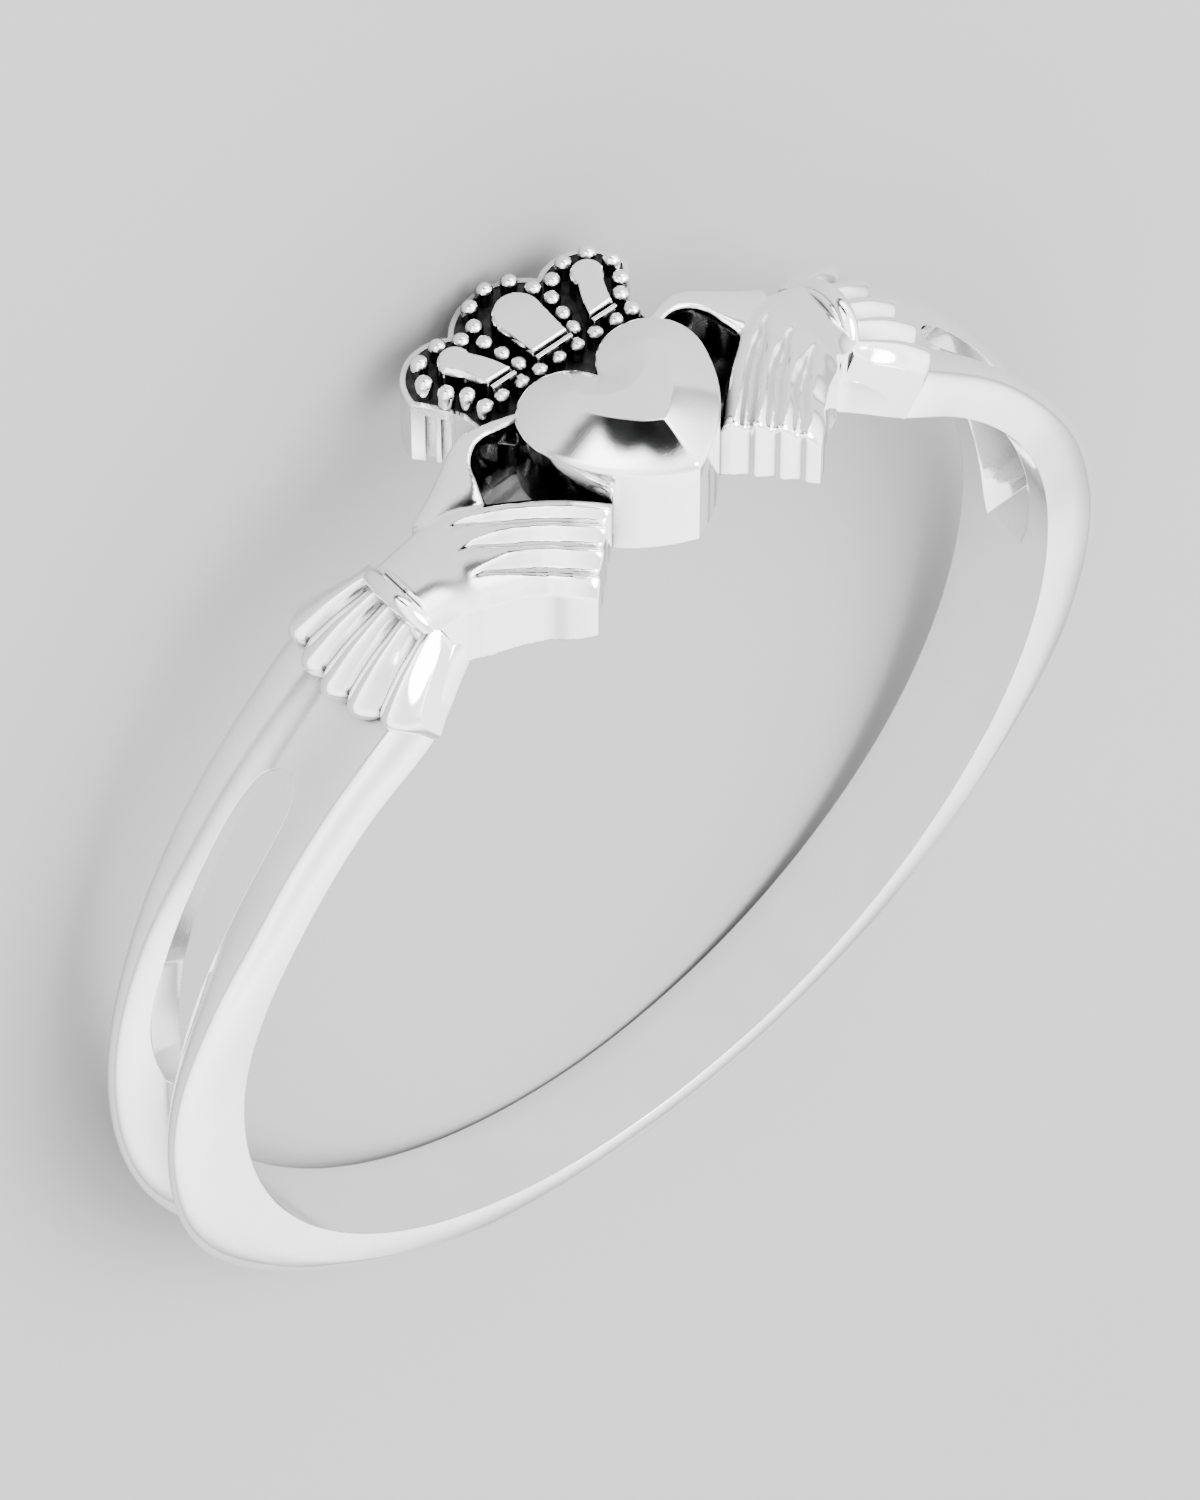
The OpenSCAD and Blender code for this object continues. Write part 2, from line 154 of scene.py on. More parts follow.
# Hand from the fingertips to the wrist: thumb side along, across, little finger side
# along, across, height, grooves
HAND = [
    (1.04, 0.44, 0.65, 0.82, 0.84, 0.80),
    (0.96, 0.37, 0.60, 0.78, 0.89, 1.00),
    (0.86, 0.27, 0.54, 0.72, 0.93, 1.00),
    (0.73, 0.14, 0.48, 0.64, 0.95, 1.00),
    (0.60, 0.03, 0.44, 0.60, 0.98, 1.00),
    (0.50, -0.05, 0.37, 0.54, 1.00, 0.70),
    (0.40, -0.15, 0.29, 0.48, 1.00, 0.20),
    (0.27, -0.18, 0.22, 0.43, 1.00, 0.00),
    (0.11, -0.21, 0.11, 0.34, 0.95, 0.00),
    (-0.09, -0.24, -0.09, 0.26, 0.92, 0.00),
]

# Thumb from its tip to its root: outer side along, across, inner side along, across,
# height, how far its inner side sinks
THUMB = [
    (0.99, -0.31, 0.99, -0.25, 0.96, 0.00),
    (0.89, -0.35, 0.89, -0.27, 0.98, 0.00),
    (0.77, -0.39, 0.77, -0.30, 1.00, 0.00),
    (0.68, -0.41, 0.69, -0.28, 1.02, 0.00),
    (0.58, -0.38, 0.62, -0.21, 1.02, 0.01),
    (0.49, -0.33, 0.58, -0.09, 1.02, 0.04),
    (0.37, -0.27, 0.52, 0.03, 1.01, 0.08),
    (0.22, -0.22, 0.36, 0.08, 0.98, 0.11),
]

# Cuff from the wristband to the scalloped end: along, width, height, crease
CUFF = [
    (0.00, 0.00, 1.00, 0.30),
    (0.20, 0.20, 1.02, 0.90),
    (0.50, 0.50, 1.02, 1.00),
    (0.80, 0.80, 0.98, 1.00),
    (0.93, 0.93, 0.95, 1.00),
    (1.00, 1.00, 0.92, 0.90),
]

# Beads of one half of the crown, as shares of half its width and of its length: across, along
BEADS = [
    (0.00, 0.19), (0.17, 0.19), (0.34, 0.19), (0.52, 0.19), (0.67, 0.19), (0.25, 0.31),
    (0.28, 0.44), (0.31, 0.58), (0.27, 0.72), (0.42, 0.69), (0.58, 0.75), (0.77, 0.72),
    (0.86, 0.58), (0.80, 0.43), (0.70, 0.33), (0.18, 0.86), (0.00, 0.91),
]


def to_row(points):
    """Millimetres on the ring's own axes to metres in the row frame."""
    p = np.asarray(points, float)
    c, s = math.cos(TILT), math.sin(TILT)
    return MM * np.stack([p[..., 0], p[..., 1] * c + p[..., 2] * s, p[..., 2] * c - p[..., 1] * s], -1)


def plan(x, v, h):
    """Points over the head: x across, v towards the tip, h outwards."""
    x, v, h = np.broadcast_arrays(x, v, h)
    return np.stack([x, -h, v], -1).astype(float)


def arc(r, a, z):
    """Points round the band: radius, angle in degrees from the middle of the head, z."""
    r, a, z = np.broadcast_arrays(r, np.radians(a), z)
    return np.stack([r * np.sin(a), -r * np.cos(a), z], -1)


def drop_to(r, x):
    """Height over the head of a surface at radius r."""
    return np.sqrt(np.maximum(np.square(r) - np.square(x), 0))


def clear_of_bore(points):
    """Moves points that are inside the bore out to just above it."""
    r = np.maximum(np.hypot(points[..., 0], points[..., 1]), 1e-6)
    grow = np.maximum(1, (BORE_R + RELIEF) / r)
    return np.stack([points[..., 0] * grow, points[..., 1] * grow, points[..., 2]], -1)


def smooth(table, places):
    """Values of a table at places in its first column, on a smooth curve."""
    t = np.asarray(table, float)
    x, y = t[:, 0], t[:, 1:]
    step = np.diff(x)[:, None]
    slope = np.diff(y, axis=0) / step
    turn = np.vstack([slope[:1], (slope[1:] + slope[:-1]) / 2, slope[-1:]])
    turn[1:-1][slope[1:] * slope[:-1] <= 0] = 0
    places = np.clip(places, x[0], x[-1])
    i = np.clip(np.searchsorted(x, places, side="right") - 1, 0, len(x) - 2)
    u = ((places - x[i]) / (x[i + 1] - x[i]))[:, None]
    return (
        y[i] * (2 * u**3 - 3 * u**2 + 1)
        + turn[i] * step[i] * (u**3 - 2 * u**2 + u)
        + y[i + 1] * (3 * u**2 - 2 * u**3)
        + turn[i + 1] * step[i] * (u**3 - u**2)
    )


def smooth_rows(table, count):
    """A table's rows made into count rows on a smooth curve."""
    numbered = [(k, *row) for k, row in enumerate(table)]
    return smooth(numbered, np.linspace(0, len(table) - 1, count))


def step_up(x, low, high):
    """0 below low, 1 above high, smooth between."""
    u = np.clip((x - low) / (high - low), 0, 1)
    return u * u * (3 - 2 * u)


def lane(t, count, power):
    """Ridge from 0 at both edges to 1 in the middle of each of count equal lanes."""
    return np.maximum(0, np.sin(np.pi * np.mod(t * count, 1))) ** power


# Mesh helpers


def finish_mesh(name, points, faces, material, sharp=38):
    """A smooth-shaded object from points in millimetres, with its faces turned outwards."""
    mesh = bpy.data.meshes.new(name)
    mesh.from_pydata([tuple(p) for p in to_row(points)], [], faces)
    bm = bmesh.new()
    bm.from_mesh(mesh)
    bmesh.ops.recalc_face_normals(bm, faces=bm.faces)
    bm.to_mesh(mesh)
    bm.free()
    mesh.materials.append(material)
    piece = bpy.data.objects.new(name, mesh)
    bpy.context.scene.collection.objects.link(piece)
    soften(piece, sharp)
    return piece


def cast(name, solids, material, voxel=0.024):
    """Several closed solids as one skin with the soft corners of a casting."""
    points, faces = join(solids)
    rough = bpy.data.meshes.new(name + "_parts")
    rough.from_pydata([tuple(p) for p in points], [], faces)
    blank = bpy.data.objects.new(name + "_parts", rough)
    bpy.context.scene.collection.objects.link(blank)
    skin = blank.modifiers.new("skin", "REMESH")
    skin.mode = "VOXEL"
    skin.voxel_size = voxel
    relax = blank.modifiers.new("relax", "SMOOTH")
    relax.factor = 0.5
    relax.iterations = 9
    mesh = bpy.data.meshes.new_from_object(blank.evaluated_get(bpy.context.evaluated_depsgraph_get()))
    bpy.data.objects.remove(blank)
    co = np.empty(len(mesh.vertices) * 3)
    mesh.vertices.foreach_get("co", co)
    mesh.vertices.foreach_set("co", to_row(co.reshape(-1, 3)).ravel())
    mesh.name = name
    mesh.materials.clear()
    mesh.materials.append(material)
    piece = bpy.data.objects.new(name, mesh)
    bpy.context.scene.collection.objects.link(piece)
    mesh.shade_smooth()
    return piece


def soften(piece, sharp=38):
    """Smooth shading that keeps the edges sharper than an angle."""
    piece.data.shade_smooth()
    piece.data.set_sharp_from_angle(angle=math.radians(sharp))


def grid_faces(rows, cols, start=0, wrap_rows=False, wrap_cols=False):
    """Quads of a grid whose first point has the index start."""
    faces = []
    for i in range(rows if wrap_rows else rows - 1):
        k = (i + 1) % rows
        for j in range(cols if wrap_cols else cols - 1):
            m = (j + 1) % cols
            corners = ((i, j), (k, j), (k, m), (i, m))
            faces.append(tuple(start + row * cols + col for row, col in corners))
    return faces


def tube(loops, ring=False):
    """Points and faces of a closed solid through loops of the same length."""
    n, m = loops.shape[:2]
    faces = grid_faces(n, m, wrap_rows=ring, wrap_cols=True)
    if not ring:
        faces += [tuple(range(m)), tuple(range((n - 1) * m, n * m))]
    return loops.reshape(-1, 3), faces


def under(top):
    """The grid dropped straight down onto the bore."""
    low = top.copy()
    low[..., 1] = -drop_to(BORE_R + RELIEF, top[..., 0])
    return low


def slab(top, low, wall_rows=3):
    """Points and faces of a closed solid between two grids of the same size."""
    rows, cols = top.shape[:2]
    edge = [(0, j) for j in range(cols)] + [(i, cols - 1) for i in range(1, rows)]
    edge += [(rows - 1, j) for j in range(cols - 2, -1, -1)] + [(i, 0) for i in range(rows - 2, 0, -1)]
    size = rows * cols
    points = [top.reshape(-1, 3), low.reshape(-1, 3)]
    faces = grid_faces(rows, cols) + grid_faces(rows, cols, size)
    above = [i * cols + j for i, j in edge]
    below = [size + k for k in above]
    rim_top = np.array([top[i, j] for i, j in edge])
    rim_low = np.array([low[i, j] for i, j in edge])
    start, n = 2 * size, len(edge)
    previous = above
    for k in range(1, wall_rows):
        points.append(rim_top + (rim_low - rim_top) * k / wall_rows)
        current = [start + q for q in range(n)]
        faces += strip(previous, current)
        previous, start = current, start + n
    faces += strip(previous, below)
    return np.vstack(points), faces


def strip(a, b):
    """Quads between two closed loops of indices."""
    n = len(a)
    return [(a[q], b[q], b[(q + 1) % n], a[(q + 1) % n]) for q in range(n)]


def mirrored(points):
    """The points on the ring's other side."""
    return points * np.array([-1, 1, 1])


def join(parts):
    """Several (points, faces) pairs as one."""
    points, faces, start = [], [], 0
    for p, f in parts:
        points.append(p)
        faces += [tuple(start + k for k in face) for face in f]
        start += len(p)
    return np.vstack(points), faces


def cut(piece, cutter):
    """Takes the cutter out of the piece, and the cutter away."""
    change = piece.modifiers.new("cut", "BOOLEAN")
    change.operation = "DIFFERENCE"
    change.solver = "MANIFOLD"
    change.object = cutter
    graph = bpy.context.evaluated_depsgraph_get()
    cut_mesh = bpy.data.meshes.new_from_object(piece.evaluated_get(graph))
    piece.modifiers.remove(change)
    piece.data = cut_mesh
    bpy.data.objects.remove(cutter)


# Band


def band_loops(count=360, points=44):
    """Closed sections all round, each from the upper edge over the outside to the bore."""
    a = np.arange(count) * 360 / count
    place = (np.minimum(a, 360 - a) - CUFF_END_A) / (180 - CUFF_END_A)
    width, crest, edge, web, bar = smooth(BAND, place).T[:, :, None]
    half = (BACK_W + (FRONT_W - BACK_W) * width) / 2
    crest = BACK_T + (SHOULDER_T - BACK_T) * crest
    u = np.linspace(1, -1, points)[None, :]
    past = np.clip((np.abs(u) - bar) / (1 - bar), 0, 1)
    shoulder = crest * edge + crest * (1 - edge) * np.sqrt(1 - past**2)
    middle = crest + (crest * web - crest) * (1 + np.cos(np.pi * np.clip(np.abs(u) / bar, 0, 1))) / 2
    height = np.where(np.abs(u) > bar, shoulder, middle)
    outside = arc(BORE_R + height, a[:, None], half * u)
    inside = arc(BORE_R, a[:, None], half * np.linspace(-1, 1, 9)[None, :])
    loops = np.concatenate([outside, inside], 1)
    loops[..., 0] *= OUTER_W / np.ptp(loops[..., 0])
    return loops


def slot_loops():
    """Slot that widens towards the bore and ends there in a straight lip."""
    along = np.linspace(0, 1, 40)
    share = smooth(SLOT, along)[:, 0]
    # Radius, how far the slot has widened there
    levels = [(BORE_R - 0.4, 1.5), (BORE_R, 1.0), (BORE_R + 0.8, 0.0), (BORE_R + 2.4, 0.0)]
    loops = []
    for r, flare in levels:
        a = SLOT_TOP_A + (SLOT_LOW_A - SLOT_TOP_A + SLOT_LIP_A * flare) * along
        width = (SLOT_OUT_W + (SLOT_IN_W - SLOT_OUT_W) * flare) / 2
        square = np.clip(flare, 0, 1) * 0.5 * step_up(along, 0.8, 1)
        z = width * (share + (1 - share) * square)
        loops.append(np.concatenate([arc(r, a, z), arc(r, a[::-1], -z[::-1])]))
    return np.array(loops)


def make_band(material):
    """Band with a slot through each shoulder."""
    band = finish_mesh("ring_band", *tube(band_loops(), ring=True), material)
    for side in (1, -1):
        loops = slot_loops() * np.array([side, 1, 1])
        cut(band, finish_mesh("slot_cutter", *tube(loops), material))
    soften(band)
    return band


# Heart


def seat(outline, middle):
    """Rings from the middle out to the outline that lie round the bore."""
    rings = []
    for share in (0.06, 0.3, 0.55, 0.8, 1.0):
        q = middle + (outline - middle) * share
        rings.append(plan(q[:, 0], q[:, 1], drop_to(BORE_R + RELIEF, q[:, 0])))
    return rings


def heart_outline(lobe_steps=56, side_steps=44):
    """Half an outline from the cleft round the lobe to the tip, then its mirror."""
    tip, lobe = np.array([0, TIP_REACH]), np.array([LOBE_X, LOBE_V])
    span = np.linalg.norm(lobe - tip)
    reach = HEART_SIDE_R - LOBE_R
    turn = math.acos((HEART_SIDE_R**2 + span**2 - reach**2) / (2 * HEART_SIDE_R * span))
    way = math.atan2(*(lobe - tip)[::-1]) - turn
    centre = tip + HEART_SIDE_R * np.array([math.cos(way), math.sin(way)])
    join_a = math.atan2(*(lobe - centre)[::-1])
    tip_a = math.atan2(*(tip - centre)[::-1])
    cleft_a = -math.pi + math.acos(LOBE_X / LOBE_R)
    a = np.linspace(cleft_a, join_a, lobe_steps)
    b = np.linspace(join_a, tip_a, side_steps)[1:]
    half = np.vstack([
        lobe + LOBE_R * np.stack([np.cos(a), np.sin(a)], 1),
        centre + HEART_SIDE_R * np.stack([np.cos(b), np.sin(b)], 1),
    ])
    return np.vstack([half, half[-2:0:-1] * [-1, 1]])


def distance_inside(points, outline):
    """Distance from each point to the outline."""
    a, b = outline, np.roll(outline, -1, 0)
    ab = b - a
    ap = points[:, None] - a[None]
    t = np.clip((ap * ab).sum(-1) / (ab * ab).sum(-1), 0, 1)
    return np.linalg.norm(ap - t[..., None] * ab, axis=-1).min(1)


def heart_height(d):
    """Cushion: a rounded rim, then a slope that eases up to the crease round a flat middle."""
    rim = HEART_RIM * np.sqrt(np.clip(1 - (1 - np.clip(d / HEART_RIM, 0, 1)) ** 2, 0, 1))
    u = np.clip(d / SLOPE_W, 0, 1)
    return rim + (HEART_RISE - HEART_RIM) * ((1 + SLOPE_EASE) * u - SLOPE_EASE * u * u)


def make_heart(material):
    """Heart with upright walls and a domed face."""
    outline = heart_outline()
    middle = np.array([0, LOBE_V + HEART_L * 0.17])
    # Close rings near the edge, then even ones across the face
    edge_shares = 1 - 0.12 * (1 - np.cos(np.linspace(0, np.pi / 2, 9)))
    face_shares = np.linspace(0.87, 0.012, 70)
    loops = seat(outline, middle)
    loops += [plan(outline[:, 0], outline[:, 1], h) for h in (BORE_R + 0.7, HEART_EDGE_R - 0.4)]
    for share in np.concatenate([edge_shares, face_shares]):
        q = middle + (outline - middle) * share
        rise = heart_height(distance_inside(q, outline)) if share < 1 else 0
        loops.append(plan(q[:, 0], q[:, 1], HEART_EDGE_R + rise))
    return finish_mesh("ring_heart", *tube(np.array(loops)), material, sharp=30)


# Crown


def crown_outline(steps=40):
    """Outline from the right foot round the three lobes to the left foot."""
    side, mid = np.array([SIDE_X, SIDE_V]), np.array([0, MID_V])
    gap = mid - side
    d = np.linalg.norm(gap)
    reach = (d**2 + SIDE_LOBE_R**2 - MID_LOBE_R**2) / (2 * d)
    off = math.sqrt(SIDE_LOBE_R**2 - reach**2)
    across = np.array([-gap[1], gap[0]]) / d
    notch = min((side + gap / d * reach + s * off * across for s in (1, -1)), key=lambda p: p[1])
    start_a = math.radians(-3)
    end_a = math.atan2(*(notch - side)[::-1])
    a = np.linspace(start_a, end_a, steps)
    lobe = side + SIDE_LOBE_R * np.stack([np.cos(a), np.sin(a)], 1)
    b0 = math.atan2(*(notch - mid)[::-1])
    b = np.linspace(b0, -math.pi - b0, steps)[1:-1]
    middle = mid + MID_LOBE_R * np.stack([np.cos(b), np.sin(b)], 1)
    foot = [[CROWN_FOOT_X * 0.6, LOBE_V], [CROWN_FOOT_X, CROWN_FOOT_V]]
    flank = [
        [CROWN_W * 0.4, SIDE_V + 0.66],
        [CROWN_W * 0.427, SIDE_V + 0.43],
        [CROWN_W * 0.455, SIDE_V + 0.24],
    ]
    half = np.vstack([foot, flank, lobe])
    return np.vstack([half, middle, half[::-1] * [-1, 1]])


def inset(outline, depth):
    """The outline moved inwards."""
    edge = np.roll(outline, -1, 0) - outline
    out = np.stack([edge[:, 1], -edge[:, 0]], 1) / np.linalg.norm(edge, axis=1, keepdims=True)
    out = out + np.roll(out, 1, 0)
    out /= np.linalg.norm(out, axis=1, keepdims=True)
    turn = np.cross(outline, np.roll(outline, -1, 0)).sum()
    return outline - out * depth * np.sign(turn)


def make_crown(silver, dark):
    """Crown block with a bright rim round its dark floor."""
    outline = crown_outline()
    floor_edge = inset(outline, RIM_W)
    rows = seat(outline, np.array([0, (CROWN_FOOT_V + MID_V) / 2]))
    rows += [plan(outline[:, 0], outline[:, 1], h) for h in (BORE_R + 0.5, CROWN_FLOOR_R)]
    floor_heights = (CROWN_FLOOR_R, CROWN_FLOOR_R - FLOOR_SINK)
    rows += [plan(floor_edge[:, 0], floor_edge[:, 1], h) for h in floor_heights]
    crown = finish_mesh("ring_crown", *tube(np.array(rows)), silver)
    for side in (1, -1):
        for k in (-1, 1):
            cut(crown, flank_recess(side, k, silver))
    darken_floor(crown, dark)
    soften(crown)
    return crown


def darken_floor(crown, dark):
    """Gives the crown's largest face that looks outwards, and what lies below it, the dark metal."""
    crown.data.materials.append(dark)
    up = Vector(to_row(plan(0, 0, 1.0)) - to_row(plan(0, 0, 0.0))).normalized()
    faces_up = [face for face in crown.data.polygons if face.normal.dot(up) > 0.9]
    level = max(faces_up, key=lambda face: face.area).center.dot(up)
    for face in faces_up:
        if face.center.dot(up) < level + 0.01 * MM:
            face.material_index = 1


def flank_recess(side, k, material):
    """Sunk field on a flank of the crown, on one side of its upright bar."""
    along = np.array([-0.5, 0.866])
    out = np.array([0.866, 0.5])
    middle = np.array([CROWN_W * 0.437, SIDE_V + 0.3]) + k * along * RECESS_STEP
    ways = ((-1, -RECESS_DEPTH), (1, -RECESS_DEPTH), (1, 0.5), (-1, 0.5))
    corners = np.array([middle + s * along * RECESS_W / 2 + o * out for s, o in ways]) * [side, 1]
    rows = [plan(corners[:, 0], corners[:, 1], h) for h in (BORE_R - 0.6, CROWN_FLOOR_R - 0.2)]
    return finish_mesh("flank_cutter", *tube(np.array(rows)), material)


def panel_outline(foot_x, head_x, foot_half, head_r, foot_v, head_v, bow=0.0, steps=28):
    """Flat foot, two sides that lean and bow, and a round head."""
    a = np.linspace(0.2, -math.pi - 0.2, steps)
    head = np.array([head_x, head_v]) + head_r * np.stack([np.cos(a), np.sin(a)], 1)
    right = np.array([foot_x + foot_half, foot_v])
    left = np.array([foot_x - foot_half, foot_v])
    t = np.linspace(0, 1, 9)[:-1, None]
    bend = np.array([bow, 0]) * (4 * t * (1 - t))
    up = right + (head[0] - right) * t + bend
    down = head[-1] + (left - head[-1]) * t + bend
    return np.vstack([up, head, down[1:], left[None]])


def panel(outline):
    """Raised panel with a bevelled edge and a shallow step round its face."""
    middle = outline.mean(0)
    top = CROWN_FLOOR_R + PANEL_RISE
    away = outline - middle
    inwards = -away / np.linalg.norm(away, axis=1, keepdims=True)
    # Steps of the edge from the floor up: inwards, height
    profile = [
        (0.0, CROWN_FLOOR_R - 0.1),
        (0.0, top - 0.13),
        (0.02, top - 0.06),
        (0.05, top - 0.015),
        (0.085, top),
    ]
    loops = []
    for depth, h in profile:
        p = outline + inwards * depth
        loops.append(plan(p[:, 0], p[:, 1], h))
    return tube(np.array(loops))


def make_panels(material):
    """Tall middle panel, two that lean outwards, and a lip along the foot of each."""
    foot_v = crown_v(0.26)
    mid_half, mid_head_r = CROWN_W * 0.08, CROWN_W * 0.097
    side_x, side_half, side_head_r = CROWN_W * 0.231, CROWN_W * 0.053, SIDE_LOBE_R * 0.345
    mid = panel_outline(0, 0, mid_half, mid_head_r, foot_v, MID_V - MID_LOBE_R * 0.13)
    side = panel_outline(side_x, SIDE_X - 0.03, side_half, side_head_r, foot_v, SIDE_V, bow=-0.03)
    parts = [panel(mid), panel(side), panel(side * [-1, 1])]
    feet = ((0, mid_half), (side_x, side_half), (-side_x, side_half))
    parts += [foot_bar(x, half, foot_v) for x, half in feet]
    return finish_mesh("ring_panels", *join(parts), material, sharp=25)


def foot_bar(x, half, foot_v):
    """Thin lip along a panel's foot, set off from it by a groove."""
    inner, outer = 0.035, 0.1
    corners = [(x - half, inner), (x + half, inner), (x + half, outer), (x - half, outer)]
    p = np.array([(a, foot_v + b) for a, b in corners])
    top = CROWN_FLOOR_R + PANEL_RISE - 0.04
    return tube(np.array([plan(p[:, 0], p[:, 1], h) for h in (CROWN_FLOOR_R - 0.1, top)]))


def crown_v(along):
    """Place on the head at a share of the crown's length."""
    return CROWN_FOOT_V + (-CROWN_REACH - CROWN_FOOT_V) * along


def bead(x, v, rings=9, sides=20):
    """Bead on a post that stands on the crown's floor."""
    a = np.linspace(0.12, np.pi / 2, rings)
    b = np.linspace(0, 2 * np.pi, sides, endpoint=False)
    width = np.append(np.sin(a), [0.97, 0.9])[:, None] * BEAD_R
    height = np.append(BEAD_H - BEAD_R + np.cos(a) * BEAD_R, [BEAD_H * 0.25, -0.05])[:, None]
    return tube(plan(x + width * np.cos(b), v + width * np.sin(b), CROWN_FLOOR_R + height))


def make_beads(material):
    """All beads of the crown, each on both sides of its middle."""
    parts = []
    for across, along in BEADS:
        x, v = across * CROWN_W / 2, crown_v(along)
        parts += [bead(side * x, v) for side in ((1, -1) if x else (1,))]
    return finish_mesh("ring_beads", *join(parts), material, sharp=60)


# Hands


def hand_x(along):
    """Distance across the head at a share of the hand's length, from the wrist."""
    return WRIST_X + (FINGER_X - WRIST_X) * along


def finger_wave(t, share=1.0):
    """1 in the middle of each trough between two fingers, 0 on the fingers."""
    wave = np.zeros_like(t * share)
    for k in range(1, FINGERS):
        half = 0.5 / FINGERS * (0.12 + 0.88 * share)
        away = np.clip(np.abs(t - k / FINGERS) / half, 0, 1)
        wave = np.maximum(wave, (1 + np.cos(np.pi * away)) / 2)
    return wave


def hand_top(rows=84, cols=113):
    """Grid of the back of a hand."""
    a_x, a_v, b_x, b_v, height, groove = smooth_rows(HAND, rows).T[:, :, None]
    t = np.linspace(0, 1, cols)[None, :]
    from_tip = np.arange(rows)[:, None] / rows
    along = a_x + (b_x - a_x) * t - TIP_NOTCH * np.exp(-14 * from_tip) * finger_wave(t)
    v = HAND_W * (a_v + (b_v - a_v) * t)
    x = hand_x(along)
    fall = HAND_FALL * ((t - HAND_CREST) / (1 - HAND_CREST)) ** 2
    rim = fall + HAND_H * EDGE_ROUND * (2 * t - 1) ** 8
    grooves = GROOVE_DEPTH * np.clip(groove, 0, 1) ** 0.6 * finger_wave(t, np.clip(groove, 0, 1))
    r = BORE_R + HAND_H * height - rim - grooves - TIP_DROP * np.exp(-40 * from_tip)
    return plan(x, v, drop_to(r, x))


def thumb_top(rows=56, cols=25):
    """Grid of the thumb, which sinks into the back of the hand on its inner side."""
    a_x, a_v, b_x, b_v, height, sink = smooth_rows(THUMB, rows).T[:, :, None]
    t = np.linspace(0, 1, cols)[None, :]
    x = hand_x(a_x + (b_x - a_x) * t)
    v = HAND_W * (a_v + (b_v - a_v) * t)
    r = BORE_R + HAND_H * (height - EDGE_ROUND * (2 * t - 1) ** 8 - sink * t**2)
    return plan(x, v, drop_to(r, x))


def hand_solids():
    """Palm and thumb of the right hand, each closed down to the bore."""
    palm, thumb = hand_top(), thumb_top()
    return [slab(palm, under(palm)), slab(thumb, under(thumb))]


def make_pocket_floors(material):
    """Dark floor that shows between thumb, finger and heart."""
    x = np.linspace(-WRIST_X, WRIST_X, 60)[:, None]
    edge = np.interp(np.abs(x), (FINGER_X, WRIST_X), (LOBE_V - LOBE_R, -WRIST_W / 2))
    low_edge = np.interp(np.abs(x), (FINGER_X, FINGER_X * 1.6), (WRIST_W * 0.7, WRIST_W / 2))
    v = edge + (low_edge - edge) * np.linspace(0, 1, 9)[None, :]
    top = plan(x + 0 * v, v, drop_to(POCKET_R, x) + 0 * v)
    return finish_mesh("ring_pocket_floor", *slab(top, under(top)), material)


# Cuffs


def strap_path(reach, crest_r, steps=48):
    """Round over the wrist and straight down both sides: z, radius and outward direction."""
    a = np.linspace(0, np.pi, steps)
    bend_r = crest_r - reach
    leg = np.linspace(BORE_R + RELIEF + 0.02, bend_r, 6)[:-1]
    z = np.concatenate([reach + 0 * leg, reach * np.cos(a), -reach + 0 * leg])
    r = np.concatenate([leg, bend_r + reach * np.sin(a), leg[::-1]])
    out_z = np.concatenate([1 + 0 * leg, np.cos(a), -1 + 0 * leg])
    out_r = np.concatenate([0 * leg, np.sin(a), 0 * leg])
    return (k[:, None] for k in (z, r, out_z, out_r))


def make_wristband(side, name, material):
    """Rounded strap over the wrist, with a thin one on the hand's side."""
    parts = []
    crest_r = BORE_R + HAND_H * 1.06
    around = np.linspace(0, 2 * np.pi, 28, endpoint=False)[None, :]
    # Shares of half the strap's thickness: half width, height, place along the arm, drop
    for shares in ((0.76, 0.8, 0.24, 0.0), (0.22, 0.3, -0.68, 0.5)):
        width, height, place, drop = (k * WRISTBAND_D / 2 for k in shares)
        reach = WRISTBAND_W / 2 - height - drop
        z, r, out_z, out_r = strap_path(reach, crest_r - height - drop)
        lift = height * np.cos(around)
        a = WRIST_A + deg(WRISTBAND_D / 2) + np.degrees((place + width * np.sin(around)) / crest_r)
        parts.append(tube(clear_of_bore(arc(r + out_r * lift, a, z + out_z * lift))))
    if side < 0:
        parts = [(mirrored(points), faces) for points, faces in parts]
    return finish_mesh(name, *join(parts), material, sharp=60)


def cuff_top(rows=48, cols=141):
    """Grid of the fluted top, with a scalloped and rounded end."""
    s = np.linspace(0, 1, rows) ** 0.8
    width, height, crease = smooth(CUFF, s).T[:, :, None]
    t = np.linspace(0, 1, cols)[None, :]
    flute = lane(t, FLUTES, 1.3)
    bow = 1 - (2 * t - 1) ** 2
    start_a = WRIST_A + deg(WRISTBAND_D) * 0.4
    end_a = CUFF_END_A - deg(CUFF_L) * (0.2 * (1 - bow) + 0.1 * (1 - lane(t, FLUTES, 0.7)))
    r = BORE_R + CUFF_H * height * (0.84 + 0.16 * bow) - CREASE_DEPTH * crease * (1 - flute)
    round_end = np.clip((s[:, None] - 0.9) / 0.1, 0, 1)
    r = r - 0.2 * (1 - np.sqrt(1 - round_end**2))
    a = start_a + (end_a - start_a) * s[:, None]
    z = (t - 0.5) * (WRIST_W + (CUFF_W - WRIST_W) * width)
    return arc(r, a, z)


def make_cuff(side, name, material):
    """The fluted top, with its walls taken straight down to the bore."""
    top = cuff_top()
    shrink = (BORE_R + RELIEF) / np.hypot(top[..., 0], top[..., 1])
    low = top * np.stack([shrink, shrink, np.ones_like(shrink)], -1)
    points, faces = slab(top, low)
    return finish_mesh(name, points if side > 0 else mirrored(points), faces, material)


def make_hand(side, name, material):
    """Palm, fingers and thumb of one side, cast together."""
    solids = hand_solids()
    if side < 0:
        solids = [(mirrored(points), faces) for points, faces in solids]
    return cast(name, solids, material)


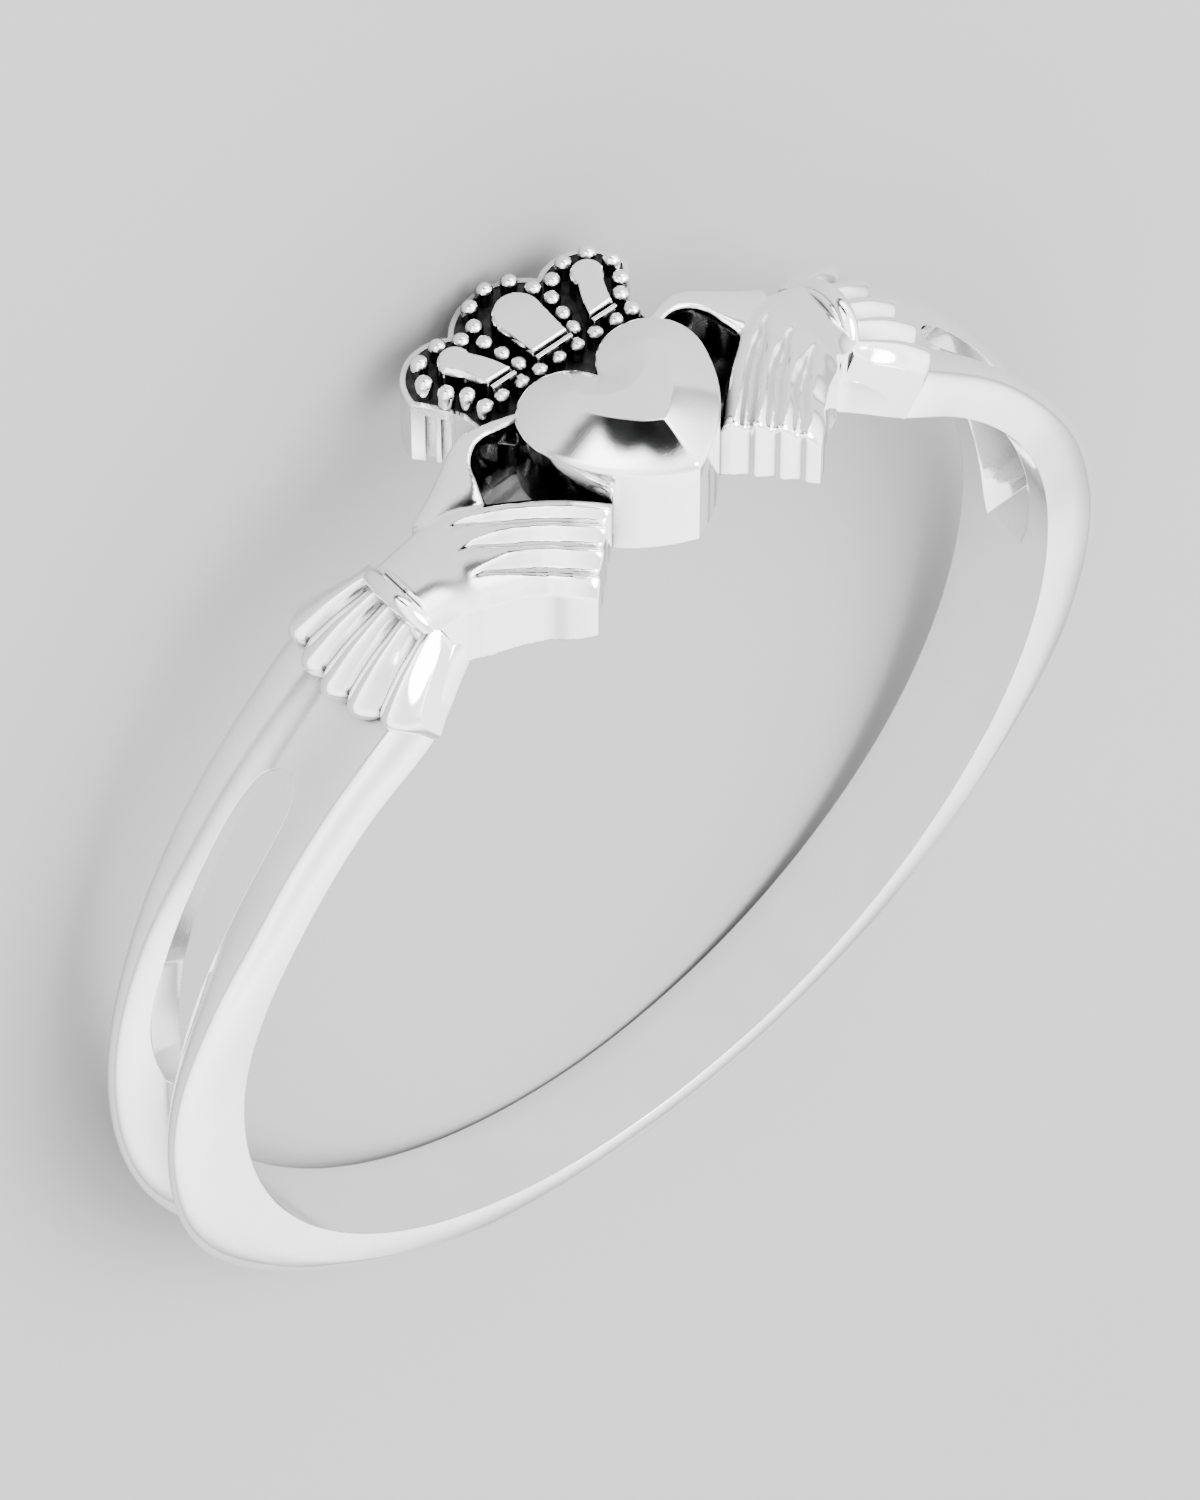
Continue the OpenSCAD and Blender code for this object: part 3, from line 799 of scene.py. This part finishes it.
# Materials


def new_material(name):
    """A material with its nodes, its links and its shader."""
    material = bpy.data.materials.new(name)
    material.use_nodes = True
    nodes, links = material.node_tree.nodes, material.node_tree.links
    return material, nodes, links, nodes["Principled BSDF"]


def noise(nodes, links, scale, detail, vector):
    """Soft random grain."""
    texture = nodes.new("ShaderNodeTexNoise")
    texture.inputs["Scale"].default_value = scale
    texture.inputs["Detail"].default_value = detail
    links.new(vector, texture.inputs["Vector"])
    return texture.outputs["Fac"]


def ramp(nodes, links, value, stops):
    """Colour ramp through (position, colour or grey) stops."""
    node = nodes.new("ShaderNodeValToRGB")
    elements = node.color_ramp.elements
    while len(elements) < len(stops):
        elements.new(0.5)
    for element, (position, colour) in zip(elements, stops):
        element.position = position
    for element, (position, colour) in zip(elements, stops):
        element.color = (*colour, 1) if isinstance(colour, tuple) else (colour, colour, colour, 1)
    links.new(value, node.inputs["Fac"])
    return node.outputs["Color"]


def multiply(nodes, links, a, b):
    """One colour darkened by another."""
    mix = nodes.new("ShaderNodeMix")
    mix.data_type = "RGBA"
    mix.blend_type = "MULTIPLY"
    mix.inputs["Factor"].default_value = 1
    links.new(a, mix.inputs["A"])
    links.new(b, mix.inputs["B"])
    return mix.outputs["Result"]


def edge_normal(nodes, links, radius, height, strength):
    """Fine unevenness on top of edges that are rounded by a polishing wheel."""
    bevel = nodes.new("ShaderNodeBevel")
    bevel.samples = 4
    bevel.inputs["Radius"].default_value = radius * MM
    bump = nodes.new("ShaderNodeBump")
    bump.inputs["Strength"].default_value = strength
    bump.inputs["Distance"].default_value = 0.002 * MM
    links.new(height, bump.inputs["Height"])
    links.new(bevel.outputs["Normal"], bump.inputs["Normal"])
    return bump.outputs["Normal"]


def crevices(nodes, reach):
    """Openness of a place: 1 out in the open, towards 0 in corners."""
    node = nodes.new("ShaderNodeAmbientOcclusion")
    node.samples = 6
    node.inputs["Distance"].default_value = reach * MM
    return node.outputs["AO"]


def polished_silver():
    """Polished cast silver: faint polishing lines, soft cloudiness, and painted shade that darkens its
    corners and hollows.
    """
    material, nodes, links, shader = new_material("polished_silver")
    place = nodes.new("ShaderNodeTexCoord").outputs["Object"]
    stretch = nodes.new("ShaderNodeMapping")
    stretch.inputs["Scale"].default_value = (1, 1, 9)
    links.new(place, stretch.inputs["Vector"])
    lines = noise(nodes, links, scale=9000, detail=3, vector=stretch.outputs["Vector"])
    clouds = noise(nodes, links, scale=900, detail=4, vector=place)
    shader.inputs["Metallic"].default_value = 1
    rough = nodes.new("ShaderNodeMapRange")
    rough.inputs["To Min"].default_value = 0.05
    rough.inputs["To Max"].default_value = 0.1
    links.new(clouds, rough.inputs["Value"])
    links.new(rough.outputs["Result"], shader.inputs["Roughness"])
    # Painted shade: the base colour is darkened in creases and hollows by how closed in they are, from
    # ambient occlusion
    crease_shade_grey, bright = (0.27, 0.267, 0.263), (0.95, 0.95, 0.955)
    crease_shade = ramp(nodes, links, crevices(nodes, reach=0.14), [(0.24, crease_shade_grey), (0.64, bright)])
    hollow_shade = ramp(nodes, links, crevices(nodes, reach=1.3), [(0.34, 0.07), (0.66, 1.0)])
    painted_shade = multiply(nodes, links, crease_shade, hollow_shade)
    tint = ramp(nodes, links, clouds, [(0.3, (0.95, 0.95, 0.945)), (0.7, (1, 1, 1))])
    links.new(multiply(nodes, links, painted_shade, tint), shader.inputs["Base Color"])
    worn_edges = edge_normal(nodes, links, radius=0.03, height=lines, strength=0.25)
    links.new(worn_edges, shader.inputs["Normal"])
    return material


def oxidised_silver():
    """Blackened silver of the sunk floors, a little lighter where it is rubbed."""
    material, nodes, links, shader = new_material("oxidised_silver")
    place = nodes.new("ShaderNodeTexCoord").outputs["Object"]
    grain = noise(nodes, links, scale=6000, detail=5, vector=place)
    shader.inputs["Metallic"].default_value = 0.85
    shader.inputs["Roughness"].default_value = 0.42
    links.new(ramp(nodes, links, grain, [(0.35, 0.012), (0.75, 0.06)]), shader.inputs["Base Color"])
    worn_edges = edge_normal(nodes, links, radius=0.02, height=grain, strength=0.6)
    links.new(worn_edges, shader.inputs["Normal"])
    return material


def pale_floor_material():
    """Matt paper with a faint cloudiness."""
    material, nodes, links, shader = new_material("pale_floor")
    place = nodes.new("ShaderNodeTexCoord").outputs["Object"]
    clouds = noise(nodes, links, scale=60, detail=2, vector=place)
    links.new(ramp(nodes, links, clouds, [(0.2, 0.28), (0.8, 0.292)]), shader.inputs["Base Color"])
    shader.inputs["Roughness"].default_value = 0.8
    return material


# Studio

# Brightness of the surround, in front of the ring and elsewhere, by height: 0 is straight down,
# 0.5 the horizon and 1 straight up
FRONT_SKY = [
    (0.000, 0.05),
    (0.496, 0.06),
    (0.501, 0.02),
    (0.550, 0.03),
    (0.590, 1.00),
    (0.690, 1.00),
    (0.760, 0.50),
    (1.000, 0.30),
]
OTHER_SKY = [
    (0.000, 0.05),
    (0.496, 0.06),
    (0.502, 0.10),
    (0.550, 0.20),
    (0.620, 0.40),
    (0.800, 0.56),
    (1.000, 0.30),
]
SKY_STRENGTH = 8.4
# Directions from the ring to the middles of the dark cards
DARK_CARDS = ((0.18, -0.94, 0.24), (0.03, -0.92, 0.4))


def make_floor():
    """Wide pale sheet that the ring lies on, in metres."""
    half = 2.5
    corners = [(x, y, FLOOR_Z) for x, y in ((-half, -half), (half, -half), (half, half), (-half, half))]
    mesh = bpy.data.meshes.new("studio_floor")
    mesh.from_pydata(corners, [], [(0, 1, 2, 3)])
    mesh.materials.append(pale_floor_material())
    floor = bpy.data.objects.new("studio_floor", mesh)
    bpy.context.scene.collection.objects.link(floor)


def make_light(name, place, size, power):
    """Round soft light that faces the ring, with its place in millimetres."""
    data = bpy.data.lights.new(name, "AREA")
    data.shape = "DISK"
    data.size = size * MM
    data.energy = power
    light = bpy.data.objects.new(name, data)
    light.location = Vector(place) * MM
    light.rotation_euler = (Vector((0, 0, 0)) - light.location).to_track_quat("-Z", "Y").to_euler()
    bpy.context.scene.collection.objects.link(light)


def dark_card(nodes, links, direction, towards):
    """Round dark card in front of the ring, which the heart's crease reflects."""
    away = nodes.new("ShaderNodeVectorMath")
    away.operation = "DISTANCE"
    away.inputs[1].default_value = towards
    links.new(direction, away.inputs[0])
    return ramp(nodes, links, away.outputs["Value"], [(0.16, 0.002), (0.21, 1.0)])


def sky(nodes, links, direction):
    """Surround that is bright above, with a dark wall along the horizon in front."""
    split = nodes.new("ShaderNodeSeparateXYZ")
    links.new(direction, split.inputs["Vector"])
    height = nodes.new("ShaderNodeMapRange")
    height.inputs["From Min"].default_value = -1
    links.new(split.outputs["Z"], height.inputs["Value"])
    front = ramp(nodes, links, height.outputs["Result"], FRONT_SKY)
    other = ramp(nodes, links, height.outputs["Result"], OTHER_SKY)
    away_from_front = nodes.new("ShaderNodeMapRange")
    away_from_front.inputs["From Min"].default_value = -0.9
    away_from_front.inputs["From Max"].default_value = -0.5
    links.new(split.outputs["Y"], away_from_front.inputs["Value"])
    mix = nodes.new("ShaderNodeMix")
    mix.data_type = "RGBA"
    links.new(away_from_front.outputs["Result"], mix.inputs["Factor"])
    links.new(front, mix.inputs["A"])
    links.new(other, mix.inputs["B"])
    return mix.outputs["Result"]


def make_world():
    """The studio's surround, with its dark cards."""
    world = bpy.data.worlds.new("studio")
    bpy.context.scene.world = world
    world.use_nodes = True
    nodes, links = world.node_tree.nodes, world.node_tree.links
    direction = nodes.new("ShaderNodeTexCoord").outputs["Generated"]
    colour = sky(nodes, links, direction)
    for towards in DARK_CARDS:
        colour = multiply(nodes, links, colour, dark_card(nodes, links, direction, towards))
    background = nodes["Background"]
    links.new(colour, background.inputs["Color"])
    background.inputs["Strength"].default_value = SKY_STRENGTH


def make_camera():
    """Camera at the photograph's angle to the ring: azimuth from the head, elevation, roll."""
    azimuth, elevation, roll = (math.radians(a) for a in (28.06, 34.13, 128.74))
    distance, lens_px, image_height_px = 148.11, 9026.7, 1500
    aim_right, aim_up = -0.212, 0.671
    flat = math.cos(elevation)
    back = Vector((math.sin(azimuth) * flat, -math.cos(azimuth) * flat, math.sin(elevation)))
    level = Vector((math.cos(azimuth), math.sin(azimuth), 0))
    right = Matrix.Rotation(roll, 3, back) @ level
    up = back.cross(right)
    aim = aim_right * right + aim_up * up
    data = bpy.data.cameras.new("camera")
    data.sensor_width = 36
    data.lens = lens_px / image_height_px * data.sensor_width
    data.clip_start = 0.005
    camera = bpy.data.objects.new("camera", data)
    turn = Matrix((right, up, back)).transposed().to_4x4()
    camera.matrix_world = Matrix.Translation((aim + back * distance) * MM) @ turn
    bpy.context.scene.collection.objects.link(camera)
    bpy.context.scene.camera = camera


def make_ring():
    """All pieces of the ring, which stand for its one solid."""
    silver, dark = polished_silver(), oxidised_silver()
    pieces = [
        make_band(silver),
        make_heart(silver),
        make_crown(silver, dark),
        make_panels(silver),
        make_beads(silver),
        make_pocket_floors(dark),
    ]
    for side, word in ((1, "right"), (-1, "left")):
        pieces.append(make_hand(side, f"ring_hand_{word}", silver))
        pieces.append(make_wristband(side, f"ring_wristband_{word}", silver))
        pieces.append(make_cuff(side, f"ring_cuff_{word}", silver))
    for piece in pieces:
        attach(piece, "root")
        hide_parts("ring")


make_world()
make_floor()
make_light("key", place=(-120, -160, 360), size=300, power=3.0)
make_camera()
make_ring()
